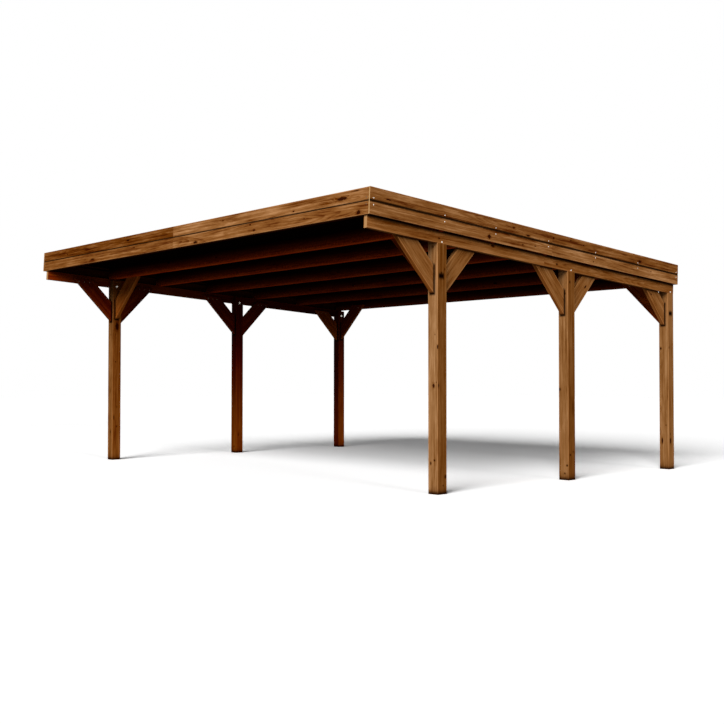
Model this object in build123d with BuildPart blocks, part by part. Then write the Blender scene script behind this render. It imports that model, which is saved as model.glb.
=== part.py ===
"""Flat-roofed double carport: six posts, two beams, seven rafters, knee braces, fascia and roof deck.

Millimetres, +Z up. +X runs along the front from left to right and +Y runs from the front to the rear.
The origin lies on the ground under the centre of the whole structure.
The roof is one flat frame that falls to the rear, and every roof piece is set out from its top plane.
"""
from math import cos, radians, sin, sqrt

from build123d import *
import os

# ---- driving dimensions -------------------------------------------------------------------------
roof_width = 6040  # over the side fascia boards
roof_length = 5090  # along the slope, over the front and rear fascia boards
roof_pitch = 2.88  # degrees, falling to the rear
front_height = 2682  # ground to the top edge of the front fascia

fascia_thickness = 20
fascia_board_height = 116
fascia_gap = 3  # between the upper and the lower course
board_end_gap = 1.5  # where two boards of a course meet end to end
side_board_joint = 2585  # front edge to the joint in the side courses
front_board_joint = 2990  # left edge to the joint in the front and rear courses

rafter_width = 45
rafter_height = 145
bays_behind_joint = 3  # equal rafter bays from the beam joint to the rear rafter
bays_before_joint = 1  # rafter bays of the same size in front of the beam joint
post_rafter_setback = 15  # front face of the rafter over the front posts, behind the posts' front face

beam_width = 45
beam_height = 110
beam_inset = 50  # outer face of a beam, in from the outer face of the side fascia
beam_front_gap = 24  # front end of a beam, behind the front face of the fascia
beam_joint_lead = 408  # joint of the two beam pieces, in front of the middle posts

post_size = 120
post_tongue_height = 90  # tongue behind the beam, above the beam's underside
front_overhang = 906  # lower front edge of the fascia to the front posts
rear_overhang = fascia_thickness  # rear posts to the lower rear edge of the fascia

brace_thickness = 45
brace_width = 180
brace_lap = 55  # how far a brace laps over the timber that it is screwed to
fore_brace_drop = 461  # underside of the beam down to the tip of a brace that rises to the front
aft_brace_drop = 483
rear_brace_drop = 386
cross_brace_rise = 534  # tip of a cross brace to its top cut
cross_brace_setback = 31  # front face of a front cross brace, behind the posts' front face
cross_brace_turn = 2  # degrees; the head of a front cross brace stands a little to the rear of its foot

deck_thickness = 18
deck_edge_gap = 4  # deck to the fascia all round
felt_thickness = 4
felt_edge_gap = 1

post_edge_radius = 3
timber_edge_radius = 3
board_edge_radius = 2

# ---- the roof plane and what hangs from it ------------------------------------------------------
slope = radians(roof_pitch)
fascia_height = 2 * fascia_board_height + fascia_gap
lower_front_y = -(roof_length * cos(slope) + fascia_height * sin(slope)) / 2
lower_rear_y = lower_front_y + roof_length * cos(slope)

# Local x is +X, local y runs down the slope from the front edge, and local z is square to the roof.
roof_top = Plane(
    origin=(0, lower_front_y + fascia_height * sin(slope), front_height),
    x_dir=(1, 0, 0),
    z_dir=(0, sin(slope), cos(slope)),
)
seat = roof_top.offset(-fascia_height)  # underside of fascia and rafters, top of the beams
beam_underside = seat.offset(-beam_height)
rafter_top = seat.offset(rafter_height)
deck_top = rafter_top.offset(deck_thickness)
down_slope = roof_top.y_dir

frame_width = roof_width - 2 * fascia_thickness
outer_face_x = roof_width / 2 - beam_inset  # outer face of beams and posts
post_inner_x = outer_face_x - post_size
front_post_y = lower_front_y + front_overhang  # front face of the front posts
rear_post_y = lower_rear_y - rear_overhang - post_size
post_front_faces = {
    "front": front_post_y,
    "middle": (front_post_y + rear_post_y) / 2,
    "rear": rear_post_y,
}
sides = {"left": -1, "right": 1}


def height_on(plane, y):
    """Height above the ground of a roof-parallel plane at a distance y from the origin."""
    return plane.origin.Z - (y - plane.origin.Y) * sin(slope) / cos(slope)


def along_slope(plane, y):
    """Distance down the slope, from the front edge, at which a roof-parallel plane reaches y."""
    return (y - plane.origin.Y) / cos(slope)


first_rafter = fascia_thickness + rafter_width / 2
last_rafter = roof_length - fascia_thickness - rafter_width / 2
post_rafter = along_slope(seat, front_post_y + post_rafter_setback) + rafter_width / 2
beam_joint = along_slope(seat, post_front_faces["middle"] - beam_joint_lead)  # under a rafter
rafter_bay = (last_rafter - beam_joint) / bays_behind_joint
field_rafters = [beam_joint + rafter_bay * n for n in range(-bays_before_joint, bays_behind_joint)]
rafter_centres = [first_rafter, post_rafter, *field_rafters, last_rafter]


def save(piece, name):
    """Label a finished piece and write it as the node of that name."""
    piece.label = name
    export_step(piece, f"parts/{name}.step")


def timber(start, direction, length, section_x, width, height, radius):
    """A timber with eased edges, from a start point along a direction; width runs along section_x."""
    with BuildPart() as piece:
        with BuildSketch(Plane(origin=start, x_dir=section_x, z_dir=direction)):
            RectangleRounded(width, height, radius)
        extrude(amount=length)
    return piece.part


# ---- posts --------------------------------------------------------------------------------------
def post(side, front_face):
    """A post whose outer part is cut down to carry the beam, with a tongue left behind the beam."""
    centre_x = side * (outer_face_x - post_size / 2)
    centre_y = front_face + post_size / 2
    tongue_top = beam_underside.offset(post_tongue_height)
    notch_x = side * (outer_face_x - beam_width / 2)
    with BuildPart() as piece:
        with BuildSketch(Plane.XY):
            with Locations((centre_x, centre_y)):
                RectangleRounded(post_size, post_size, post_edge_radius)
        extrude(amount=height_on(tongue_top, front_face) + post_edge_radius)
        split(bisect_by=tongue_top, keep=Keep.BOTTOM)
        with BuildSketch(beam_underside):
            with Locations((notch_x, along_slope(beam_underside, centre_y))):
                Rectangle(beam_width, 2 * post_size)
        extrude(amount=2 * post_tongue_height, mode=Mode.SUBTRACT)
    return piece.part


# ---- beams and rafters --------------------------------------------------------------------------
def beam(side, start, end):
    """A beam piece between two distances down the slope, with its top on the seat plane."""
    middle = seat.offset(-beam_height / 2)
    origin = middle.from_local_coords((side * (outer_face_x - beam_width / 2), start, 0))
    return timber(origin, down_slope, end - start, (1, 0, 0), beam_width, beam_height, timber_edge_radius)


def rafter(centre):
    """A rafter across the whole frame, standing square to the roof on the seat plane."""
    middle = seat.offset(rafter_height / 2)
    origin = middle.from_local_coords((-frame_width / 2, centre, 0))
    return timber(origin, (1, 0, 0), frame_width, down_slope, rafter_width, rafter_height, timber_edge_radius)


# ---- braces -------------------------------------------------------------------------------------
def brace(tip, outward, across, top_cut, turn=0):
    """A brace at 45 degrees from its tip: cut flat against the post, and along top_cut at its head.

    outward points level from the post's face, and across points level along the brace's thickness.
    turn swings the brace level about its tip, in degrees toward across.
    """
    foot_cut = Plane(origin=tip, z_dir=outward)
    outward, across = (
        outward * cos(radians(turn)) + across * sin(radians(turn)),
        across * cos(radians(turn)) - outward * sin(radians(turn)),
    )
    grain = (outward + Vector(0, 0, 1)).normalized()
    over = (Vector(0, 0, 1) - outward).normalized()
    start = tip + over * (brace_width / 2) - grain * brace_width
    reach = sqrt(2) * (cross_brace_rise + brace_lap) + 2 * brace_width
    with BuildPart() as piece:
        with BuildSketch(Plane(origin=start, x_dir=across, z_dir=grain)):
            RectangleRounded(brace_thickness, brace_width, timber_edge_radius)
        extrude(amount=reach)
        split(bisect_by=foot_cut, keep=Keep.TOP)
        split(bisect_by=top_cut, keep=Keep.BOTTOM)
    return piece.part


def knee_brace(side, face_y, direction, drop):
    """A brace in line with the beam, lapping the beam's inner face; direction is -1 to the front."""
    centre_x = side * (outer_face_x - beam_width - brace_thickness / 2)
    tip = Vector(centre_x, face_y, height_on(beam_underside, face_y) - drop)
    return brace(tip, Vector(0, direction, 0), Vector(1, 0, 0), beam_underside.offset(brace_lap))


def cross_brace(side, centre_y, top_cut, turn=0):
    """A brace from the inner face of a post towards the middle of a rafter."""
    tip = Vector(side * post_inner_x, centre_y, height_on(top_cut, centre_y) - cross_brace_rise)
    return brace(tip, Vector(-side, 0, 0), Vector(0, 1, 0), top_cut, turn)


# ---- fascia -------------------------------------------------------------------------------------
def course_middle(course):
    """The plane through the middle of a fascia course, parallel to the roof."""
    depth = fascia_board_height / 2
    if course == "lower":
        depth += fascia_board_height + fascia_gap
    return roof_top.offset(-depth)


def side_course(side, course):
    """Two boards end to end along one side; they cover the ends of the front and rear boards."""
    middle = course_middle(course)
    x = side * (roof_width - fascia_thickness) / 2
    size = (fascia_thickness, fascia_board_height, board_edge_radius)
    joint = side_board_joint
    near = timber(
        middle.from_local_coords((x, 0, 0)), down_slope, joint - board_end_gap / 2, (1, 0, 0), *size
    )
    far = timber(
        middle.from_local_coords((x, joint + board_end_gap / 2, 0)),
        down_slope,
        roof_length - joint - board_end_gap / 2,
        (1, 0, 0),
        *size,
    )
    return Compound(children=[near, far])


def end_course(centre, course):
    """Two boards end to end across the front or the rear, between the side boards."""
    middle = course_middle(course)
    size = (fascia_thickness, fascia_board_height, board_edge_radius)
    joint_x = front_board_joint - roof_width / 2
    left_length = joint_x - board_end_gap / 2 + frame_width / 2
    right_length = frame_width / 2 - joint_x - board_end_gap / 2
    left = timber(
        middle.from_local_coords((-frame_width / 2, centre, 0)), (1, 0, 0), left_length, down_slope, *size
    )
    right = timber(
        middle.from_local_coords((joint_x + board_end_gap / 2, centre, 0)),
        (1, 0, 0),
        right_length,
        down_slope,
        *size,
    )
    return Compound(children=[left, right])


# ---- roof covering ------------------------------------------------------------------------------
def roof_slab(plane, edge_gap, thickness, start, end):
    """A flat slab on a roof-parallel plane, between two distances down the slope."""
    with BuildPart() as piece:
        with BuildSketch(plane):
            with Locations((0, (start + end) / 2)):
                Rectangle(frame_width - 2 * edge_gap, end - start)
        extrude(amount=thickness)
    return piece.part


# ---- building every node ------------------------------------------------------------------------
os.makedirs("parts", exist_ok=True)

rear_brace_y = roof_top.from_local_coords((0, last_rafter - rafter_width / 2, -fascia_height)).Y
front_cross_y = front_post_y + cross_brace_setback + brace_thickness / 2
rear_cross_y = rear_brace_y - brace_thickness / 2
beam_end = along_slope(beam_underside, rear_post_y + post_size)

for side_name, side in sides.items():
    for place, face in post_front_faces.items():
        save(post(side, face), f"post_{place}_{side_name}")

    save(beam(side, beam_front_gap, beam_joint - board_end_gap / 2), f"beam_front_{side_name}")
    save(beam(side, beam_joint + board_end_gap / 2, beam_end), f"beam_rear_{side_name}")

    for place, face in post_front_faces.items():
        drop = rear_brace_drop if place == "rear" else fore_brace_drop
        save(knee_brace(side, face, -1, drop), f"knee_brace_{place}_{side_name}_fore")
        if place != "rear":
            aft = knee_brace(side, face + post_size, 1, aft_brace_drop)
            save(aft, f"knee_brace_{place}_{side_name}_aft")

    front_cross = cross_brace(side, front_cross_y, seat, cross_brace_turn)
    save(front_cross, f"cross_brace_front_{side_name}")
    save(cross_brace(side, rear_cross_y, seat.offset(brace_lap)), f"cross_brace_rear_{side_name}")

    for course in ("upper", "lower"):
        save(side_course(side, course), f"fascia_{side_name}_{course}")

for number, centre in enumerate(rafter_centres, start=1):
    save(rafter(centre), f"rafter_{number}")

for course in ("upper", "lower"):
    save(end_course(fascia_thickness / 2, course), f"fascia_front_{course}")
    save(end_course(roof_length - fascia_thickness / 2, course), f"fascia_rear_{course}")

deck_start = fascia_thickness + deck_edge_gap
deck_end = roof_length - fascia_thickness - deck_edge_gap
save(
    roof_slab(rafter_top, deck_edge_gap, deck_thickness, deck_start, beam_joint - board_end_gap / 2),
    "roof_deck_front",
)
save(
    roof_slab(rafter_top, deck_edge_gap, deck_thickness, beam_joint + board_end_gap / 2, deck_end),
    "roof_deck_rear",
)
save(
    roof_slab(
        deck_top,
        felt_edge_gap,
        felt_thickness,
        fascia_thickness + felt_edge_gap,
        roof_length - fascia_thickness - felt_edge_gap,
    ),
    "roof_felt",
)
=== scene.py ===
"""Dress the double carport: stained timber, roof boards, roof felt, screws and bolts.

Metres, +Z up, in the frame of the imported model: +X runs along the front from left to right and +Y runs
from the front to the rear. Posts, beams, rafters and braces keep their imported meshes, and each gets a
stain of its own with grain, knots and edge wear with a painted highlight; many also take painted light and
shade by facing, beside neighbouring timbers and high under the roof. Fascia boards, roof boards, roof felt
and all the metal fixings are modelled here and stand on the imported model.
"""

import logging
import math
import random
from collections.abc import Callable, Iterable
from dataclasses import dataclass, field, replace
from enum import Enum
from zlib import crc32

import bpy
from mathutils import Matrix, Vector


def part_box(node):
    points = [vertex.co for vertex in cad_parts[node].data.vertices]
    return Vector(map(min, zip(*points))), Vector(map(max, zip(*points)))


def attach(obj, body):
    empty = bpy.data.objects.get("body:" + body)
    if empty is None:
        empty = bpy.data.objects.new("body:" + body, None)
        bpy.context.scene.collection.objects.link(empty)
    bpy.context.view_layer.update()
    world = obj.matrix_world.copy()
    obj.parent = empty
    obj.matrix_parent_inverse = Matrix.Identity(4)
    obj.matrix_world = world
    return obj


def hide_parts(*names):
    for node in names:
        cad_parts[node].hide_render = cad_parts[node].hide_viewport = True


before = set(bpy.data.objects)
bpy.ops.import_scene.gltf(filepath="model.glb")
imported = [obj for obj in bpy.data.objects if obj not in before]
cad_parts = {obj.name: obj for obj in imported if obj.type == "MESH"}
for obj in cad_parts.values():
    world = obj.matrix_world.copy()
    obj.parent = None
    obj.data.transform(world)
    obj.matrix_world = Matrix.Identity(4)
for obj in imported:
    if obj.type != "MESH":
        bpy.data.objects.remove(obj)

log = logging.getLogger("carport")

Socket = bpy.types.NodeSocket
Feed = Socket | float | tuple[float, ...]
Colour = tuple[float, float, float]
Piece = bpy.types.Object

MM = 0.001
ACROSS = Vector((1, 0, 0))
REARWARD = Vector((0, 1, 0))
UPRIGHT = Vector((0, 0, 1))
RAFTERS = range(1, 8)
FULL = (1.0, 1.0, 1.0)
SCREW_HEAD = 1.2 * MM


# ---- colours ------------------------------------------------------------------------------------
def tone(red: float, green: float, blue: float) -> Colour:
    """Turn a colour from a paint chart, 0 to 255 a channel, into Blender's linear values."""
    channels = (red / 255, green / 255, blue / 255)
    return tuple(c / 12.92 if c <= 0.04045 else ((c + 0.055) / 1.055) ** 2.4 for c in channels)


def stain_tone(level: float, redder: float = 0.0) -> Colour:
    """Give the colour of the brown stain at a level: the deeper it is, the redder it turns.

    Args:
        level: The red channel of the colour, from 0 to 255.
        redder: How much less green and blue it holds than it commonly does.

    Returns:
        The colour.
    """
    green = max(level - 46 - redder, level * 0.18)
    blue = max(level - 89 - redder * 1.6, level * 0.03)
    return tone(level, green, blue)


CUT_TONE = tone(214, 172, 118)


# ---- where things lie ---------------------------------------------------------------------------
class Side(Enum):
    """The two long sides of the carport, valued by the sign of their x."""

    LEFT = -1
    RIGHT = 1

    @property
    def word(self) -> str:
        """The word used in the names of nodes and pieces."""
        return self.name.lower()

    @property
    def outward(self) -> Vector:
        """The way out of the carport on this side."""
        return ACROSS * self.value


class Face(Enum):
    """The four long faces of a timber, valued by its own up and through ways."""

    TOP = (1, 0)
    BOTTOM = (-1, 0)
    NEAR = (0, -1)
    FAR = (0, 1)


@dataclass(frozen=True)
class Lie:
    """How one timber lies: its middle, the way of its grain and the way of its section."""

    middle: Vector
    along: Vector
    up: Vector
    length: float
    height: float
    thickness: float

    @property
    def matrix(self) -> Matrix:
        """Take a point from the timber's own axes (along, up, through) to the carport's frame.

        Returns:
            The matrix of the timber's place and turn.
        """
        through = self.along.cross(self.up)
        turn = Matrix((self.along, self.up, through)).transposed().to_4x4()
        return Matrix.Translation(self.middle) @ turn


@dataclass(frozen=True)
class RoofPlane:
    """The pitch of the roof: the way down the slope and the way square to it."""

    down: Vector
    square: Vector

    @classmethod
    def from_rafters(cls) -> "RoofPlane":
        """Find the pitch from the middles of the first and the last rafter."""
        down = (middle_of(f"rafter_{RAFTERS[-1]}") - middle_of(f"rafter_{RAFTERS[0]}")).normalized()
        return cls(down, ACROSS.cross(down))

    def extent(self, node: str) -> tuple[float, float]:
        """Give the length down the slope and the height square to it of a node that lies with the roof.

        Args:
            node: Node name of a straight timber or sheet that runs down the slope.

        Returns:
            Length and height in metres.
        """
        low, high = corners(node)
        run = high.y - low.y
        rise = high.z - low.z
        cosine = self.down.y
        sine = -self.down.z
        doubled = cosine * cosine - sine * sine
        return (run * cosine - rise * sine) / doubled, (rise * cosine - run * sine) / doubled

    def offset(self, point: Vector, down: float = 0.0, square: float = 0.0) -> Vector:
        """Move a point along the roof's own directions."""
        return point + self.down * down + self.square * square

    def down_lie(self, node: str) -> Lie:
        """Lay out a timber or sheet that runs down the slope.

        Args:
            node: Node name of the timber or sheet.

        Returns:
            How it lies.
        """
        low, high = corners(node)
        length, height = self.extent(node)
        return Lie(middle_of(node), self.down, self.square, length, height, high.x - low.x)

    def cross_lie(self, node: str) -> Lie:
        """Lay out a timber whose grain runs across the carport.

        Args:
            node: Node name of the timber.

        Returns:
            How it lies.
        """
        low, high = corners(node)
        thickness, height = self.extent(node)
        return Lie(middle_of(node), ACROSS, self.square, high.x - low.x, height, thickness)

    def deck_lie(self, node: str) -> Lie:
        """Lay out a half of the roof deck, with its grain down the slope and its width as its height.

        Args:
            node: Node name of the half.

        Returns:
            How it lies.
        """
        low, high = corners(node)
        length, thickness = self.extent(node)
        return Lie(middle_of(node), self.down, ACROSS, length, high.x - low.x, thickness)


def corners(node: str) -> tuple[Vector, Vector]:
    """Give the lowest and the highest corner of a node's box."""
    low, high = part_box(node)
    return Vector(low), Vector(high)


def middle_of(node: str) -> Vector:
    """Give the middle of a node's box."""
    low, high = corners(node)
    return (low + high) / 2


def outer_x(node: str, side: Side) -> float:
    """Give the x of the face of a node's box that looks out of the carport."""
    low, high = corners(node)
    return high.x if side is Side.RIGHT else low.x


def inner_x(node: str, side: Side) -> float:
    """Give the x of the face of a node's box that looks into the carport."""
    low, high = corners(node)
    return low.x if side is Side.RIGHT else high.x


def extent_along(mesh: bpy.types.Mesh, way: Vector) -> tuple[float, float]:
    """Give the lowest and the highest place of a mesh along a way."""
    places = [vertex.co.dot(way) for vertex in mesh.vertices]
    return min(places), max(places)


# ---- shader nodes -------------------------------------------------------------------------------
class Nodes:
    """Adds nodes to one tree and joins them."""

    def __init__(self, tree: bpy.types.NodeTree) -> None:
        """Work on a tree."""
        self.tree = tree

    def add(self, kind: str, **settings: object) -> bpy.types.Node:
        """Add a node of a kind, named without its common start, and set its properties.

        Args:
            kind: Kind of node.
            settings: Its properties by name.

        Returns:
            The node.
        """
        node = self.tree.nodes.new(f"ShaderNode{kind}")
        for name, value in settings.items():
            setattr(node, name, value)
        return node

    def feed(self, socket: Socket, value: Feed) -> None:
        """Link a socket, or set its own value where the value is a plain number or vector.

        Args:
            socket: Input to feed.
            value: What feeds it.
        """
        if isinstance(value, bpy.types.NodeSocket):
            self.tree.links.new(value, socket)
        else:
            wide = socket.type == "RGBA" and len(value) == 3
            socket.default_value = (*value, 1.0) if wide else value

    def fed(self, kind: str, *values: Feed, **settings: object) -> bpy.types.Node:
        """Add a node and feed its inputs in their order.

        Args:
            kind: Kind of node.
            values: What feeds its inputs.
            settings: Its properties by name.

        Returns:
            The node.
        """
        node = self.add(kind, **settings)
        for socket, value in zip(node.inputs, values):
            self.feed(socket, value)
        return node

    def math(self, operation: str, *values: Feed) -> Socket:
        """Add a Math node and give its result."""
        return self.fed("Math", *values, operation=operation).outputs[0]

    def product(self, first: Feed, second: Feed) -> Socket:
        """Multiply two numbers."""
        return self.math("MULTIPLY", first, second)

    def scaled_sum(self, value: Feed, scale: Feed, added: Feed) -> Socket:
        """Multiply a number and add another."""
        return self.math("MULTIPLY_ADD", value, scale, added)

    def vector(self, operation: str, *values: Feed) -> Socket:
        """Add a Vector Math node and give its vector."""
        return self.fed("VectorMath", *values, operation=operation).outputs["Vector"]

    def number(self, operation: str, *values: Feed) -> Socket:
        """Add a Vector Math node and give its number."""
        return self.fed("VectorMath", *values, operation=operation).outputs["Value"]

    def length(self, value: Feed) -> Socket:
        """Give the length of a vector."""
        return self.number("LENGTH", value)

    def split(self, value: Feed) -> tuple[Socket, Socket, Socket]:
        """Split a vector into its three numbers."""
        return tuple(self.fed("SeparateXYZ", value).outputs)

    def combine(self, *values: Feed) -> Socket:
        """Make a vector of three numbers."""
        return self.fed("CombineXYZ", *values).outputs[0]

    def step(self, value: Feed, start: Feed, end: Feed, low: Feed = 0.0, high: Feed = 1.0) -> Socket:
        """Ease from low to high while the value goes from start to end."""
        eased = self.fed("MapRange", value, start, end, low, high, interpolation_type="SMOOTHSTEP")
        return eased.outputs[0]

    def noise(
        self, vector: Feed, scale: float = 1.0, detail: float = 2.0, rough: float = 0.5
    ) -> bpy.types.Node:
        """Add a Noise Texture node.

        Args:
            vector: Place.
            scale: Repeats to the metre.
            detail: Octaves of the noise.
            rough: Strength of each finer octave.

        Returns:
            The node.
        """
        node = self.add("TexNoise")
        self.feed(node.inputs["Vector"], vector)
        for name, value in (("Scale", scale), ("Detail", detail), ("Roughness", rough)):
            node.inputs[name].default_value = value
        return node

    def cloud(self, vector: Feed, scale: float, detail: float = 2.0) -> Socket:
        """Give the value of an even noise, 0 to 1."""
        return self.noise(vector, scale, detail).outputs["Fac"]

    def stretched(
        self, vector: Feed, along: float, across: float, detail: float, rough: float = 0.5
    ) -> Socket:
        """Give noise that is drawn out along the grain.

        Args:
            vector: Place on the timber, along the grain first.
            along: Repeats to the metre along the grain.
            across: Repeats to the metre across it.
            detail: Octaves of the noise.
            rough: Strength of each finer octave.

        Returns:
            The noise value, 0 to 1.
        """
        scaled = self.vector("MULTIPLY", vector, (along, across, across))
        return self.noise(scaled, detail=detail, rough=rough).outputs["Fac"]

    def blend(self, factor: Feed, first: Feed, second: Feed, mode: str = "MIX") -> Socket:
        """Mix two colours.

        Args:
            factor: Share of the second colour.
            first: First colour.
            second: Second colour.
            mode: How the second colour is laid over the first.

        Returns:
            The mixed colour.
        """
        node = self.add("Mix", data_type="RGBA", blend_type=mode)
        self.feed(node.inputs["Factor"], factor)
        colours = [socket for socket in node.inputs if socket.type == "RGBA"]
        for socket, value in zip(colours, (first, second)):
            self.feed(socket, value)
        return next(socket for socket in node.outputs if socket.type == "RGBA")

    def tinted(self, colour: Feed, tint: Feed) -> Socket:
        """Multiply a colour by a tint."""
        return self.blend(1.0, colour, tint, mode="MULTIPLY")


class EffectGroup:
    """A shader node group that is built once and placed in each material with its own values."""

    title = ""

    def __init__(self) -> None:
        """Build the group."""
        self.tree = bpy.data.node_groups.new(self.title, "ShaderNodeTree")
        self.entry = self.tree.nodes.new("NodeGroupInput")
        self.exit = self.tree.nodes.new("NodeGroupOutput")
        self.build(Nodes(self.tree))

    def build(self, n: Nodes) -> None:
        """Lay out the nodes of the group."""
        raise NotImplementedError

    def take(self, kind: str, *names: str) -> list[Socket]:
        """Add inputs of one kind (Float, Vector or Color) and give the sockets that bring them in.

        Args:
            kind: Kind of the inputs.
            names: Their names.

        Returns:
            A socket for each input.
        """
        for name in names:
            self.tree.interface.new_socket(name=name, in_out="INPUT", socket_type=f"NodeSocket{kind}")
        return [self.entry.outputs[name] for name in names]

    def give(self, name: str, value: Socket) -> None:
        """Add an output of the value's own kind to the group.

        Args:
            name: Name of the output.
            value: What it gives.
        """
        kind = "Color" if value.type == "RGBA" else "Float"
        self.tree.interface.new_socket(name=name, in_out="OUTPUT", socket_type=f"NodeSocket{kind}")
        self.tree.links.new(value, self.exit.inputs[name])

    def place(self, nodes: Nodes, values: dict[str, Feed]) -> bpy.types.Node:
        """Put the group into a material.

        Args:
            nodes: The material's nodes.
            values: A value or socket for each input by name.

        Returns:
            The group node.
        """
        node = nodes.add("Group", node_tree=self.tree)
        for name, value in values.items():
            nodes.feed(node.inputs[name], value)
        return node


class KnotGroup(EffectGroup):
    """One knot: a dark core with a rim and a halo, and the push that it gives to the grain."""

    title = "Knot"

    def build(self, n: Nodes) -> None:
        """Measure how far a place lies from the knot and add its marks to those before.

        Args:
            n: The group's nodes.
        """
        place, centre = self.take("Vector", "Place", "Centre")
        length, width, core_before, halo_before, push_before = self.take(
            "Float", "Length", "Width", "Core", "Halo", "Push"
        )
        wobble = n.noise(place, scale=38.0).outputs["Color"]
        ragged = n.vector("SCALE", n.vector("SUBTRACT", wobble, (0.5, 0.5, 0.5)))
        n.feed(ragged.node.inputs["Scale"], n.product(width, 1.1))
        away = n.vector("ADD", n.vector("SUBTRACT", place, centre), ragged)
        scaled = n.vector("DIVIDE", away, n.combine(length, width, width))
        distance = n.length(scaled)
        wide = n.length(n.vector("MULTIPLY", scaled, (0.3, 0.5, 0.5)))
        push = n.product(n.step(wide, 1.0, 0.0), n.product(width, 1.3))
        self.give("Core", n.math("MAXIMUM", core_before, n.step(distance, 1.1, 0.8)))
        self.give("Halo", n.math("MAXIMUM", halo_before, n.step(distance, 2.2, 0.8)))
        self.give("Push", n.math("ADD", push_before, push))


class FigureGroup(EffectGroup):
    """The figure of planed pine: growth rings round the pith, streaks, fibres and cloudy patches."""

    title = "Pine figure"

    def build(self, n: Nodes) -> None:
        """Draw rings round a drifting pith, and noise drawn out along the grain.

        Args:
            n: The group's nodes.
        """
        place, shift, pith = self.take("Vector", "Place", "Shift", "Pith")
        spacing, taper, push = self.take("Float", "Ring Spacing", "Taper", "Push")
        moved = n.vector("ADD", place, shift)
        slow = n.noise(n.vector("MULTIPLY", moved, (0.9, 3.0, 3.0)), detail=1.0).outputs["Color"]
        drift = n.vector("MULTIPLY", n.vector("SUBTRACT", slow, (0.5, 0.5, 0.5)), (0.0, 0.09, 0.09))
        from_pith = n.vector("ADD", n.vector("SUBTRACT", place, pith), drift)
        radius = n.length(n.vector("MULTIPLY", from_pith, (0.0, 1.0, 1.0)))
        cone = n.scaled_sum(n.split(place)[0], taper, radius)
        tremble = n.scaled_sum(n.stretched(moved, 3.0, 30.0, 2.0), 0.006, push)
        part = n.math("FRACT", n.math("DIVIDE", n.math("ADD", cone, tremble), spacing))
        late = n.product(n.step(part, 0.25, 0.9), n.step(part, 1.0, 0.92))
        strength = n.step(n.stretched(moved, 0.6, 7.0, 1.0), 0.3, 0.65, 0.25, 1.0)
        self.give("Rings", n.product(late, strength))
        self.give("Streaks", n.stretched(moved, 1.6, 44.0, 5.0, 0.68))
        self.give("Fibre", n.stretched(moved, 14.0, 520.0, 2.0))
        self.give("Cloud", n.stretched(moved, 3.0, 12.0, 4.0, 0.62))


class SeamGroup(EffectGroup):
    """Painted shade where a neighbouring timber touches or overhangs this one."""

    title = "Dark seam"

    def build(self, n: Nodes) -> None:
        """Paint shade by the distance to the neighbour's box, with a ragged edge.

        Args:
            n: The group's nodes.
        """
        place, half_size = self.take("Vector", "Place", "Half Size")
        reach, power, before = self.take("Float", "Reach", "Power", "Before")
        past = n.vector("SUBTRACT", n.vector("ABSOLUTE", place), half_size)
        gap = n.length(n.vector("MAXIMUM", past, (0.0, 0.0, 0.0)))
        ragged = n.scaled_sum(n.cloud(place, 45.0), 0.6, 0.7)
        shade = n.math("POWER", n.step(gap, n.product(reach, ragged), 0.0), power)
        self.give("Seam", n.math("MAXIMUM", before, shade))


class StainGroup(EffectGroup):
    """The colour and the relief that a brown stain gives to the figure."""

    title = "Brown stain"

    def build(self, n: Nodes) -> None:
        """Turn the figure into a depth of stain, and lay edge wear with a painted highlight, knots and
        painted contact shade over it.

        Args:
            n: The group's nodes.
        """
        rings, streaks, fibre, cloud, core, halo, wear_and_highlight, seam = self.take(
            "Float", "Rings", "Streaks", "Fibre", "Cloud", "Core", "Halo", "Worn", "Seam"
        )
        pale, brown, deep, knot = self.take("Color", "Pale", "Brown", "Deep", "Knot")
        depth: Feed = 0.58
        for pattern, strength in ((streaks, 2.5), (cloud, 1.1), (fibre, 0.7)):
            depth = n.scaled_sum(n.math("SUBTRACT", pattern, 0.5), strength, depth)
        for mark in (rings, halo):
            depth = n.scaled_sum(mark, -0.3, depth)
        lower = n.blend(n.step(depth, 0.0, 0.5), deep, brown)
        base = n.blend(n.step(depth, 0.5, 1.0), lower, pale)
        # Lighter along the arrises: partly edge wear, partly a painted highlight.
        lightened_edge = n.blend(n.product(wear_and_highlight, 0.75), base, n.tinted(pale, (1.3, 1.25, 1.2)))
        knotty = n.blend(n.product(core, 0.95), lightened_edge, knot)
        # Painted shade beside neighbouring timbers, near black where it is full.
        self.give("Colour", n.blend(seam, knotty, n.tinted(knotty, (0.025, 0.012, 0.01))))
        self.give("Roughness", n.scaled_sum(core, -0.08, n.scaled_sum(fibre, 0.2, 0.52)))
        relief = n.scaled_sum(rings, 0.6, n.product(fibre, 0.5))
        self.give("Relief", n.scaled_sum(core, -0.8, relief))


class WeatherGroup(EffectGroup):
    """Gives the faces that look one way a colour of their own: painted light and shade by facing."""

    title = "Weathering"

    def build(self, n: Nodes) -> None:
        """Swap in the colour of painted light and shade where the surface looks toward the given way.

        Args:
            n: The group's nodes.
        """
        facing, toward = self.take("Vector", "Facing", "Toward")
        colour, other = self.take("Color", "Colour", "Other")
        mask = n.step(n.number("DOT_PRODUCT", facing, toward), 0.45, 0.75)
        self.give("Colour", n.blend(mask, colour, other))


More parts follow.
